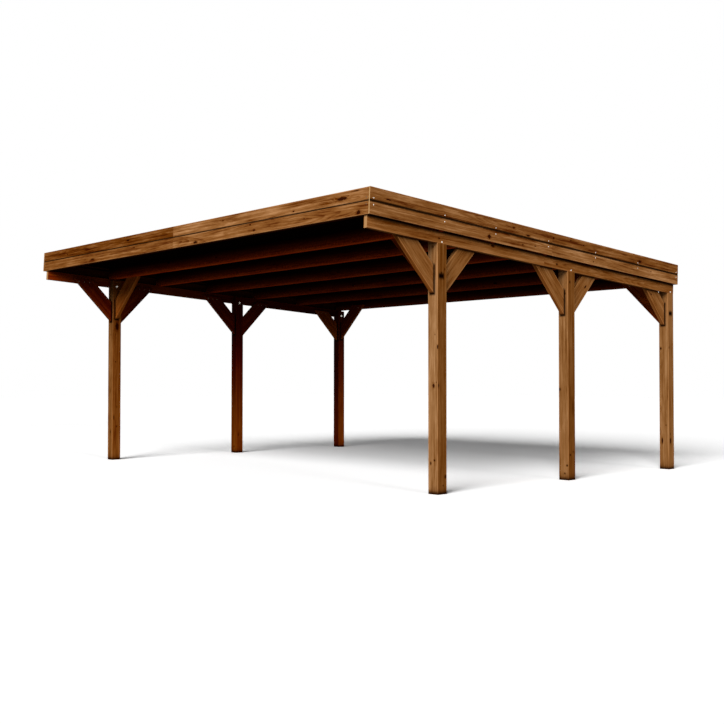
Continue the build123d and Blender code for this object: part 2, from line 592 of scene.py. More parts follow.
class EndGrainGroup(EffectGroup):
    """Shows where a timber is cut across its fibres, with its rings and the cracks that drying opens."""

    title = "End grain"

    def build(self, n: Nodes) -> None:
        """Draw rings and cracks round the pith on the ends, but not on the rim beside the long faces.

        Args:
            n: The group's nodes.
        """
        place, facing, pith = self.take("Vector", "Place", "Facing", "Pith")
        spacing, half_thickness = self.take("Float", "Ring Spacing", "Half Thickness")
        colour, cut = self.take("Color", "Colour", "Cut")
        to_face = n.math("SUBTRACT", half_thickness, n.math("ABSOLUTE", n.split(place)[2]))
        bare = n.step(to_face, 2 * MM, 8 * MM)
        mask = n.product(n.step(n.math("ABSOLUTE", n.split(facing)[0]), 0.5, 0.68), bare)
        across = n.vector("MULTIPLY", n.vector("SUBTRACT", place, pith), (0.0, 1.0, 1.0))
        wavy = n.scaled_sum(n.cloud(place, 14.0), 0.012, n.length(across))
        part = n.math("FRACT", n.math("DIVIDE", wavy, spacing))
        ring = n.product(n.step(part, 0.35, 0.9), n.step(part, 1.0, 0.94))
        turn = n.math("ARCTAN2", *n.split(across)[1:])
        crack = n.cloud(n.combine(n.product(turn, 5.0), 0.0, 0.0), 1.0, 1.0)
        shade = n.math("MAXIMUM", n.product(ring, 0.45), n.product(n.step(crack, 0.64, 0.7), 0.7))
        sawn = n.blend(shade, cut, n.blend(0.7, cut, (0.02, 0.01, 0.005)))
        self.give("Colour", n.blend(mask, colour, sawn))


class ArrisGroup(EffectGroup):
    """Edge wear and a painted highlight along the long edges of a timber, broken up so that it comes and
    goes.
    """

    title = "Worn arris"

    def build(self, n: Nodes) -> None:
        """Mark the places that lie near two long faces at once.

        Args:
            n: The group's nodes.
        """
        (place,) = self.take("Vector", "Place")
        half_height, half_thickness, reach = self.take("Float", "Half Height", "Half Thickness", "Reach")
        _, up, through = n.split(place)
        to_top = n.math("SUBTRACT", half_height, n.math("ABSOLUTE", up))
        to_face = n.math("SUBTRACT", half_thickness, n.math("ABSOLUTE", through))
        patchy = n.step(n.stretched(place, 5.0, 40.0, 2.0), 0.35, 0.65, 0.55, 1.5)
        self.give("Worn", n.step(n.math("MAXIMUM", to_top, to_face), n.product(reach, patchy), 0.0))


class DampFootGroup(EffectGroup):
    """A post darker towards its foot, and painted roof shade higher up."""

    title = "Damp foot"

    def build(self, n: Nodes) -> None:
        """Tint the colour by the height above the ground: painted roof shade higher up, a ragged darker foot
        and a nearly black rim.

        Args:
            n: The group's nodes.
        """
        (place,) = self.take("Vector", "Place")
        colour, shelter = self.take("Color", "Colour", "Shelter")
        (reach,) = self.take("Float", "Reach")
        height = n.split(place)[2]
        # Painted roof shade: the tint grows from 0.2 m to 1.5 m above the ground.
        colour = n.blend(n.step(height, 0.2, 1.5), colour, n.tinted(colour, shelter))
        ragged = n.scaled_sum(n.cloud(place, 22.0, 3.0), n.product(reach, -0.9), height)
        low = n.step(ragged, reach, n.product(reach, -0.6))
        darker_foot = n.blend(low, colour, n.tinted(colour, (0.5, 0.4, 0.3)))
        foot_rim = n.product(n.step(height, 45 * MM, 5 * MM), 0.95)
        self.give("Colour", n.blend(foot_rim, darker_foot, n.tinted(darker_foot, (0.12, 0.09, 0.07))))


class SpeckleGroup(EffectGroup):
    """Fine grains scattered over a surface, as on mineral felt or zinc."""

    title = "Speckle"

    def build(self, n: Nodes) -> None:
        """Give each small cell a tone between dark and light, clouded over the surface.

        Args:
            n: The group's nodes.
        """
        (place,) = self.take("Vector", "Place")
        (fineness,) = self.take("Float", "Fineness")
        dark, light = self.take("Color", "Dark", "Light")
        cells = n.add("TexVoronoi")
        n.feed(cells.inputs["Vector"], place)
        n.feed(cells.inputs["Scale"], fineness)
        cloud = n.math("SUBTRACT", n.cloud(place, 1.7, 4.0), 0.5)
        amount = n.scaled_sum(cloud, 0.6, n.split(cells.outputs["Color"])[0])
        self.give("Colour", n.blend(n.step(amount, 0.35, 1.0), dark, light))
        self.give("Relief", n.step(cells.outputs["Distance"], 0.7, 0.0))


@dataclass(frozen=True)
class Effects:
    """All shared shader groups, built once."""

    knot: KnotGroup = field(default_factory=KnotGroup)
    figure: FigureGroup = field(default_factory=FigureGroup)
    seam: SeamGroup = field(default_factory=SeamGroup)
    weather: WeatherGroup = field(default_factory=WeatherGroup)
    stain: StainGroup = field(default_factory=StainGroup)
    end_grain: EndGrainGroup = field(default_factory=EndGrainGroup)
    arris: ArrisGroup = field(default_factory=ArrisGroup)
    damp_foot: DampFootGroup = field(default_factory=DampFootGroup)
    speckle: SpeckleGroup = field(default_factory=SpeckleGroup)


# ---- finishes -----------------------------------------------------------------------------------
class Material:
    """A new material with its nodes and its shader."""

    def __init__(self, name: str) -> None:
        """Start the material.

        Args:
            name: Name of the material.
        """
        self.made = bpy.data.materials.new(name)
        self.made.use_nodes = True
        self.nodes = Nodes(self.made.node_tree)
        self.shader = self.made.node_tree.nodes["Principled BSDF"]
        self.source = self.nodes.add("TexCoord")

    @property
    def place(self) -> Socket:
        """The place on the piece, in the carport's frame."""
        return self.source.outputs["Object"]

    @property
    def facing(self) -> Socket:
        """The way that the surface looks."""
        return self.source.outputs["Normal"]

    def feed(self, **sockets: Feed) -> None:
        """Feed sockets of the shader, each named with low lines for its spaces."""
        for name, value in sockets.items():
            self.nodes.feed(self.shader.inputs[name.replace("_", " ")], value)

    def bump(self, height: Socket, strength: float, distance: float) -> None:
        """Raise the surface by a height.

        Args:
            height: Height of the surface, 0 to 1.
            strength: Share of the bump that shows.
            distance: Height of a full bump in metres.
        """
        bump = self.nodes.add("Bump")
        bump.inputs["Strength"].default_value = strength
        bump.inputs["Distance"].default_value = distance
        self.nodes.feed(bump.inputs["Height"], height)
        self.feed(Normal=bump.outputs["Normal"])


@dataclass(frozen=True)
class Knot:
    """A knot on one face of a timber.

    The place is measured in metres along the timber from its start, and across from the middle of the
    face. The sizes are half of the knot's length and half of its width.
    """

    along: float
    across: float
    length: float
    width: float
    face: Face = Face.FAR

    def centre(self, lie: Lie) -> Vector:
        """Give the middle of the knot on the timber's own axes.

        Args:
            lie: How the timber lies.

        Returns:
            The middle of the knot.
        """
        up, through = self.face.value
        if through:
            return Vector((self.along - lie.length / 2, self.across, through * lie.thickness / 2))
        return Vector((self.along - lie.length / 2, up * lie.height / 2, self.across))


@dataclass(frozen=True)
class Tones:
    """The colours of one stained timber."""

    pale: Colour
    brown: Colour
    deep: Colour
    knot: Colour = tone(30, 9, 2)
    cut: Colour = CUT_TONE

    @classmethod
    def stained(cls, level: float, spread: float, redder: float = 0.0, cut: Colour = CUT_TONE) -> "Tones":
        """Make the tones round a level of the brown stain.

        Args:
            level: The level of the common tone.
            spread: How far the pale tone lies above it.
            redder: How much redder than common all three are.
            cut: The colour of the end grain.

        Returns:
            The tones.
        """
        pale, deep = stain_tone(level + spread, redder), stain_tone(level - spread * 1.3, redder)
        return cls(pale, stain_tone(level, redder), deep, stain_tone(level * 0.3), cut)

    @property
    def shades(self) -> dict[str, Colour]:
        """The inputs of the stain group that hold these tones."""
        return {"Pale": self.pale, "Brown": self.brown, "Deep": self.deep, "Knot": self.knot}


@dataclass(frozen=True)
class Timber:
    """What the stain needs to know of one timber.

    Each of the sides is a way and the tones of the faces that look that way: painted light and shade by
    facing.
    Each neighbour is a timber beside which shade is painted, within the shade's reach and the more evenly
    the lower its power is. A timber with a dark foot is darker towards its foot, and its upper part takes a
    tint of painted roof shade.
    """

    name: str
    lie: Lie
    tones: Tones
    sides: tuple[tuple[Vector, Tones], ...] = ()
    knots: tuple[Knot, ...] = ()
    seams: tuple[Lie, ...] = ()
    seam_reach: float = 28 * MM
    seam_power: float = 1.1
    damp: bool = False
    shelter: Colour = FULL


@dataclass(frozen=True)
class StainedTimber:
    """Planed pine with a brown stain, its grain laid along each timber."""

    effects: Effects
    knots_to_metre: float = 0.9
    arris_reach: float = 7 * MM
    relief: float = 0.8 * MM
    relief_strength: float = 0.45
    damp_reach: float = 70 * MM

    def draw_knots(self, lie: Lie, draw: random.Random) -> tuple[Knot, ...]:
        """Scatter knots over the faces of a timber.

        Args:
            lie: How the timber lies.
            draw: The timber's own random draws.

        Returns:
            The knots.
        """
        square = lie.height < 1.5 * lie.thickness
        knots = []
        for _ in range(max(1, round(lie.length * self.knots_to_metre))):
            width = draw.uniform(4, 11) * MM
            face = draw.choice(list(Face) if square else [Face.NEAR, Face.FAR])
            across = draw.uniform(-0.42, 0.42) * (lie.thickness if face.value[0] else lie.height)
            along = draw.uniform(0.03, 0.97) * lie.length
            knots.append(Knot(along, across, width * draw.uniform(1.2, 2.6), width, face))
        return tuple(knots)

    def material(self, timber: Timber) -> bpy.types.Material:
        """Make the material of one timber.

        Args:
            timber: The timber and what touches it.

        Returns:
            The finished material.
        """
        lie = timber.lie
        draw = random.Random(crc32(timber.name.encode()))
        drawn_knots = self.draw_knots(lie, draw)
        pith = (0.0, draw.uniform(-0.4, 0.4) * lie.height, draw.choice((-1, 1)) * draw.uniform(0.03, 0.09))
        rings = {"Pith": pith, "Ring Spacing": draw.uniform(6.0, 9.0) * MM}
        shift = tuple(draw.uniform(-20, 20) for _ in range(3))
        taper = draw.choice((-1, 1)) * draw.uniform(0.004, 0.016)
        finish = Material(f"stain_{timber.name}")
        nodes = finish.nodes
        place = self.turned(nodes, finish.place, lie, lie.middle)
        rings["Place"] = place
        marks = self.knots(nodes, place, lie, timber.knots or drawn_knots)
        grain = rings | {"Shift": shift, "Push": marks.pop("Push"), "Taper": taper}
        figure = self.effects.figure.place(nodes, grain)
        marks |= {word: figure.outputs[word] for word in ("Rings", "Streaks", "Fibre", "Cloud")}
        section = {"Half Height": lie.height / 2, "Half Thickness": lie.thickness / 2}
        wear_and_highlight = self.effects.arris.place(nodes, section | {"Place": place, "Reach": self.arris_reach})
        marks["Worn"] = wear_and_highlight.outputs["Worn"]
        # Painted shade beside neighbouring timbers.
        marks["Seam"] = self.seam(nodes, finish.place, timber)
        stain = self.effects.stain.place(nodes, marks | timber.tones.shades)
        colour = stain.outputs["Colour"]
        # Painted light and shade: faces that look a given way take tones of their own.
        for toward, tones in timber.sides:
            other = self.effects.stain.place(nodes, marks | tones.shades).outputs["Colour"]
            swap = {"Facing": finish.facing, "Toward": tuple(toward), "Colour": colour, "Other": other}
            colour = self.effects.weather.place(nodes, swap).outputs["Colour"]
        ends = rings | {"Colour": colour, "Cut": timber.tones.cut, "Half Thickness": lie.thickness / 2}
        ends["Facing"] = self.turned(nodes, finish.facing, lie, Vector())
        colour = self.effects.end_grain.place(nodes, ends).outputs["Colour"]
        # Darker towards the foot, and painted roof shade high on the timber.
        if timber.damp:
            foot = {"Place": finish.place, "Colour": colour, "Reach": self.damp_reach}
            foot["Shelter"] = timber.shelter
            colour = self.effects.damp_foot.place(nodes, foot).outputs["Colour"]
        finish.feed(Base_Color=colour, Roughness=stain.outputs["Roughness"], Specular_IOR_Level=0.0)
        finish.bump(stain.outputs["Relief"], self.relief_strength, self.relief)
        return finish.made

    def knots(self, nodes: Nodes, place: Socket, lie: Lie, knots: Iterable[Knot]) -> dict[str, Feed]:
        """Lay every knot over the one before and give the sum of their marks.

        Args:
            nodes: The material's nodes.
            place: Place on the timber's own axes.
            lie: How the timber lies.
            knots: The knots.

        Returns:
            The core, halo and push of all knots.
        """
        marks: dict[str, Feed] = {"Core": 0.0, "Halo": 0.0, "Push": 0.0}
        for knot in knots:
            marks |= {"Place": place, "Centre": tuple(knot.centre(lie))}
            mark = self.effects.knot.place(nodes, marks | {"Length": knot.length, "Width": knot.width})
            marks = {word: mark.outputs[word] for word in ("Core", "Halo", "Push")}
        return marks

    def seam(self, nodes: Nodes, source: Socket, timber: Timber) -> Feed:
        """Paint shade on the timber beside each of its neighbours.

        Args:
            nodes: The material's nodes.
            source: Place in the carport's frame.
            timber: The timber and what touches it.

        Returns:
            The painted shade, 0 to 1.
        """
        shade: Feed = 0.0
        for lie in timber.seams:
            values = {"Place": self.turned(nodes, source, lie, lie.middle), "Before": shade}
            values["Half Size"] = (lie.length / 2, lie.height / 2, lie.thickness / 2)
            values |= {"Reach": timber.seam_reach, "Power": timber.seam_power}
            shade = self.effects.seam.place(nodes, values).outputs["Seam"]
        return shade

    @staticmethod
    def turned(nodes: Nodes, source: Socket, lie: Lie, origin: Vector) -> Socket:
        """Bring a place or a direction onto the timber's own axes.

        Args:
            nodes: The material's nodes.
            source: Place or direction in the carport's frame.
            lie: How the timber lies.
            origin: What becomes the origin.

        Returns:
            The place or direction on the timber's axes.
        """
        mapping = nodes.add("Mapping", vector_type="TEXTURE")
        nodes.feed(mapping.inputs["Vector"], source)
        mapping.inputs["Location"].default_value = origin
        mapping.inputs["Rotation"].default_value = lie.matrix.to_euler()
        return mapping.outputs["Vector"]


@dataclass(frozen=True)
class Speckled:
    """A finish of fine grains between two tones, the raised grains rougher or smoother than the rest."""

    effects: Effects
    name: str
    dark: Colour
    light: Colour
    roughness: float
    grain_roughness: float
    fineness: float = 420.0

    def start(self) -> tuple[Material, Socket]:
        """Start the material and give it with the height of its grains.

        Returns:
            The material and the height of its grains.
        """
        finish = Material(self.name)
        grains = {"Place": finish.place, "Fineness": self.fineness, "Dark": self.dark, "Light": self.light}
        speckle = self.effects.speckle.place(finish.nodes, grains)
        height = speckle.outputs["Relief"]
        rough = finish.nodes.scaled_sum(height, self.grain_roughness, self.roughness)
        finish.feed(Base_Color=speckle.outputs["Colour"], Roughness=rough)
        return finish, height


@dataclass(frozen=True)
class Zinc(Speckled):
    """Zinc-plated steel with faint spangle."""

    name: str = "bright_zinc"
    dark: Colour = tone(234, 229, 218)
    light: Colour = tone(250, 246, 238)
    roughness: float = 0.3
    grain_roughness: float = 0.12

    def material(self) -> bpy.types.Material:
        """Make the material.

        Returns:
            The finished material.
        """
        finish, _ = self.start()
        finish.feed(Metallic=1.0)
        return finish.made


@dataclass(frozen=True)
class MineralFelt(Speckled):
    """Black roofing felt with mineral grains."""

    name: str = "mineral_felt"
    dark: Colour = tone(38, 39, 42)
    light: Colour = tone(98, 99, 102)
    roughness: float = 0.95
    grain_roughness: float = -0.15
    relief: float = 0.8 * MM
    relief_strength: float = 0.6

    def material(self) -> bpy.types.Material:
        """Make the material.

        Returns:
            The finished material.
        """
        finish, height = self.start()
        finish.feed(Specular_IOR_Level=0.2)
        finish.bump(height, self.relief_strength, self.relief)
        return finish.made


# ---- modelling ----------------------------------------------------------------------------------
class Bench:
    """Models pieces with Blender's own operators and settles them in the carport's frame."""

    @staticmethod
    def clear() -> None:
        """Leave edit mode and deselect everything."""
        if bpy.context.object and bpy.context.object.mode != "OBJECT":
            bpy.ops.object.mode_set(mode="OBJECT")
        bpy.ops.object.select_all(action="DESELECT")

    @classmethod
    def cube(cls, name: str, size: Vector) -> Piece:
        """Start a piece from a cube of a size, centred on the origin.

        Args:
            name: Name of the piece.
            size: Its size in metres.

        Returns:
            The piece.
        """
        cls.clear()
        bpy.ops.mesh.primitive_cube_add(size=1.0)
        piece = bpy.context.object
        piece.name = name
        piece.scale = size
        bpy.ops.object.transform_apply(location=False, rotation=False, scale=True)
        return piece

    @classmethod
    def prism(cls, name: str, sides: int, radius: float, height: float) -> Piece:
        """Start a piece from an upright prism that stands on the origin, with its top selected.

        Args:
            name: Name of the piece.
            sides: Number of its upright faces.
            radius: Radius of its corners.
            height: Its height.

        Returns:
            The piece, in edit mode.
        """
        cls.clear()
        bpy.ops.mesh.primitive_cylinder_add(vertices=sides, radius=radius, depth=height)
        piece = bpy.context.object
        piece.name = name
        piece.location.z = height / 2
        bpy.ops.object.transform_apply(location=True, rotation=False, scale=False)
        cls.pick(piece, "FACE", lambda middle, way: way.z > 0.9)
        return piece

    @classmethod
    def pick(cls, piece: Piece, mode: str, test: Callable[[Vector, Vector], bool]) -> None:
        """Enter edit mode with only the chosen faces or edges selected.

        Args:
            piece: The piece to work on.
            mode: FACE or EDGE.
            test: Says whether an element with this middle and this normal or direction is chosen.
        """
        cls.clear()
        piece.select_set(True)
        bpy.context.view_layer.objects.active = piece
        bpy.ops.object.mode_set(mode="EDIT")
        bpy.ops.mesh.select_mode(type=mode)
        bpy.ops.mesh.select_all(action="DESELECT")
        bpy.ops.object.mode_set(mode="OBJECT")
        mesh = piece.data
        if mode == "FACE":
            for face in mesh.polygons:
                face.select = test(face.center, face.normal)
        else:
            for edge in mesh.edges:
                start, end = (mesh.vertices[index].co for index in edge.vertices)
                edge.select = test((start + end) / 2, (end - start).normalized())
        bpy.ops.object.mode_set(mode="EDIT")

    @classmethod
    def cut(cls, piece: Piece, place: Vector, way: Vector) -> None:
        """Cut all faces of a piece along a plane, which adds edges and parts nothing."""
        cls.pick(piece, "FACE", lambda middle, facing: True)
        bpy.ops.mesh.bisect(plane_co=place, plane_no=way)

    @staticmethod
    def move(piece: Piece, place: Matrix) -> Piece:
        """Put a piece in its place, with the place kept in its mesh.

        Args:
            piece: The piece.
            place: Its place and turn.

        Returns:
            The piece.
        """
        piece.data.transform(place @ piece.matrix_world)
        piece.matrix_world = Matrix()
        return piece

    @classmethod
    def copy(cls, piece: Piece, place: Matrix) -> Piece:
        """Copy a piece with its own mesh to another place.

        Args:
            piece: The piece to copy.
            place: Place and turn of the copy.

        Returns:
            The copy.
        """
        twin = piece.copy()
        twin.data = piece.data.copy()
        bpy.context.scene.collection.objects.link(twin)
        return cls.move(twin, place)

    @classmethod
    def join(cls, name: str, pieces: list[Piece]) -> Piece:
        """Join pieces into one with this name.

        Args:
            name: Name of the joined piece.
            pieces: The pieces.

        Returns:
            The joined piece.
        """
        cls.clear()
        for piece in pieces:
            piece.select_set(True)
        bpy.context.view_layer.objects.active = pieces[0]
        if len(pieces) > 1:
            bpy.ops.object.join()
        joined = bpy.context.view_layer.objects.active
        joined.name = name
        joined.data.name = name
        return joined

    @classmethod
    def repeat(cls, name: str, model: Piece, places: list[Matrix]) -> Piece:
        """Copy a model to many places, join the copies and drop the model.

        Args:
            name: Name of the joined piece.
            model: The model.
            places: Place and turn of each copy.

        Returns:
            The joined piece.
        """
        copies = [cls.copy(model, place) for place in places]
        bpy.data.objects.remove(model)
        return cls.join(name, copies)

    @staticmethod
    def finish(piece: Piece, material: bpy.types.Material, slot: str, *replaced: str) -> None:
        """Dress a piece, attach it to the root body and hide the CAD nodes that it stands for.

        Args:
            piece: The finished piece.
            material: Its material.
            slot: The record's material slot; not used.
            replaced: CAD nodes that the piece stands for.
        """
        piece.data.materials.clear()
        piece.data.materials.append(material)
        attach(piece, "root")
        if replaced:
            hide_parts(*replaced)
        log.info("%s: %d faces", piece.name, len(piece.data.polygons))


# ---- what is set for single timbers -------------------------------------------------------------
def knots_on(**faces: tuple[tuple[float, float, float, float], ...]) -> tuple[Knot, ...]:
    """Make knots, face by face, from rows of along in metres and across, length and width in millimetres.

    Args:
        faces: Rows of knots by the name of their face.

    Returns:
        The knots.
    """
    return tuple(
        Knot(along, across * MM, length * MM, width * MM, Face[face.upper()])
        for face, rows in faces.items()
        for along, across, length, width in rows
    )


KNOTS = {
    "post_front_right": knots_on(
        near=(
            (2.256, 2, 8, 7), (1.456, 25, 6, 4), (0.99, 8, 20, 15), (1.02, 39, 7, 4), (0.31, 19, 10, 9),
            (0.28, -27, 14, 8), (1.343, 58, 22, 8),
        ),
        top=((2.02, -7, 8, 5), (2.056, 38, 10, 5), (0.16, 42, 14, 12), (0.08, 11, 7, 6), (0.99, -50, 18, 7)),
    ),
    "post_middle_right": knots_on(
        near=((0.95, -48, 15, 9), (0.155, 42, 12, 10), (0.07, 14, 9, 8), (1.955, 22, 13, 8)),
        top=((0.265, -26, 11, 9), (0.295, 23, 10, 8), (0.76, 25, 60, 5), (2.075, -24, 13, 9)),
    ),
    "post_rear_right": knots_on(
        near=((0.335, -24, 34, 10), (1.43, -38, 16, 10), (0.52, 25, 7, 5)),
        top=((0.335, -19, 34, 14), (0.415, -20, 14, 5), (1.44, -42, 14, 6)),
    ),
    "post_front_left": knots_on(
        near=((1.66, 5, 9, 5), (0.37, 10, 22, 8)),
        top=((1.77, 0, 56, 22), (1.30, -20, 9, 5), (0.56, -40, 28, 5), (0.44, 0, 11, 8), (0.70, 5, 16, 4)),
    ),
    "post_middle_left": knots_on(near=((0.09, 10, 13, 10),), top=((0.27, -20, 34, 5),)),
    "post_rear_left": knots_on(top=((1.55, -30, 10, 5), (0.90, -10, 30, 6))),
    "fascia_front_upper_left": knots_on(far=((2.06, 4, 32, 9), (0.62, -20, 9, 5))),
    "fascia_front_lower_left": knots_on(far=((1.26, -20, 40, 9), (2.20, 26, 9, 5))),
    "fascia_front_upper_right": knots_on(
        far=((2.01, -33, 11, 7), (2.67, -4, 70, 15), (2.85, 42, 36, 5), (0.90, 12, 10, 5))
    ),
    "fascia_front_lower_right": knots_on(
        far=(
            (0.425, -38, 32, 13), (1.355, 37, 10, 6), (1.42, -23, 13, 9), (2.165, 0, 10, 5),
            (2.887, -31, 22, 18),
        )
    ),
    "fascia_right_upper_near": knots_on(far=((1.95, 11, 13, 7), (2.18, -33, 32, 9), (0.22, -22, 30, 6))),
    "fascia_right_upper_far": knots_on(
        far=((0.018, 6, 11, 9), (0.32, 25, 9, 5), (0.55, 7, 9, 5), (1.657, -15, 30, 14))
    ),
    "fascia_right_lower_near": knots_on(far=((1.58, -14, 24, 19), (2.10, -16, 10, 6), (2.30, -3, 10, 6))),
    "fascia_right_lower_far": knots_on(far=((0.74, -22, 9, 5), (1.90, 20, 10, 6))),
}

# Tones of each post's front and right face: painted light and shade, lighter on the faces that take more
# light, deeper and redder toward the rear left, under the roof.
POST_TONES = {
    "post_front_right": (Tones.stained(154, 28), Tones.stained(120, 20, 2)),
    "post_middle_right": (Tones.stained(140, 28), Tones.stained(117, 20, 2)),
    "post_rear_right": (Tones.stained(138, 28), Tones.stained(138, 22, 2)),
    "post_front_left": (Tones.stained(130, 24, 1), Tones.stained(123, 22, 11)),
    "post_middle_left": (Tones.stained(102, 20, 10), Tones.stained(108, 22, 18)),
    "post_rear_left": (Tones.stained(86, 20, 20), Tones.stained(116, 22, 26)),
}

# Painted roof shade: the tint that the stain takes high on a left post.
POST_ROOF_SHADE = {
    "post_front_left": tone(240, 236, 230),
    "post_middle_left": tone(190, 90, 90),
    "post_rear_left": tone(236, 190, 190),
}

# Level and redness of braces: outside the carport, inside it, and on the lower face. The inner and the lower
# tones are painted light and shade, and on the cross braces the outer ones too.
KNEE_LEVELS = {
    "right": ((138, 4), (120, 8), (156, 20)),
    "front_left": ((138, 4), (92, 26), (112, 24)),
    "middle_left": ((138, 4), (98, 34), (110, 34)),
    "rear_left": ((138, 4), (150, 38), (150, 38)),
}
CROSS_LEVELS = {
    "right": ((142, 40), (128, 24), (132, 30)),
    "front_left": ((160, 28), (160, 28), (160, 32)),
    "rear_left": ((104, 34), (150, 38), (150, 38)),
}

# Level of the stain on single fascia boards.
FASCIA_LEVELS = {
    "fascia_front_upper_left": 106,
    "fascia_front_lower_left": 126,
    "fascia_front_upper_right": 147,
    "fascia_front_lower_right": 136,
    "fascia_right_upper_near": 134,
    "fascia_right_lower_near": 138,
    "fascia_right_upper_far": 126,
    "fascia_right_lower_far": 144,
}


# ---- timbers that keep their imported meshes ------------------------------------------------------
class Row(Enum):
    """The three rows of posts, from the front to the rear."""

    FRONT = "front"
    MIDDLE = "middle"
    REAR = "rear"


@dataclass(frozen=True)
class Framework:
    """How the timbers of the frame lie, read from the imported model."""

    roof: RoofPlane

    def post(self, row: Row, side: Side) -> Lie:
        """Lay out a post, with its grain upright.

        Args:
            row: Row of the post.
            side: Its side.

        Returns:
            How it lies.
        """
        low, high = corners(f"post_{row.value}_{side.word}")
        size = high.x - low.x
        return Lie((low + high) / 2, UPRIGHT, ACROSS, high.z - low.z, size, size)

    def brace(self, node: str) -> Lie:
        """Lay out a brace, which rises at 45 degrees, with its grain rising from its foot.

        Args:
            node: Node name of the brace.

        Returns:
            How it lies.
        """
        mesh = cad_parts[node].data
        widest = max(mesh.polygons, key=lambda polygon: polygon.area)
        outward = widest.normal.cross(UPRIGHT).normalized()
        foot = min(mesh.vertices, key=lambda vertex: vertex.co.z).co
        if (middle_of(node) - foot).dot(outward) < 0:
            outward = -outward
        along = (outward + UPRIGHT).normalized()
        over = (UPRIGHT - outward).normalized()
        ways = (along, over, along.cross(over))
        spans = [extent_along(mesh, way) for way in ways]
        middle = sum((way * (start + end) / 2 for way, (start, end) in zip(ways, spans)), Vector())
        return Lie(middle, along, over, *(end - start for start, end in spans))

    def eaves(self, side: Side) -> Lie:
        """Lay out the lower fascia course of a side, widened until it meets the beam, to paint the fascia's
        shadow on the beam.

        Args:
            side: Side of the course.

        Returns:
            How the widened course lies.
        """
        node = f"fascia_{side.word}_lower"
        lie = self.roof.down_lie(node)
        to_beam = abs(inner_x(node, side) - outer_x(f"beam_front_{side.word}", side))
        return replace(lie, thickness=lie.thickness + 2 * to_beam)

    def braces(self, row: Row, side: Side) -> list[str]:
        """Name the braces that land on a post."""
        starts = (f"knee_brace_{row.value}_{side.word}", f"cross_brace_{row.value}_{side.word}")
        return sorted(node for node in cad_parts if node.startswith(starts))


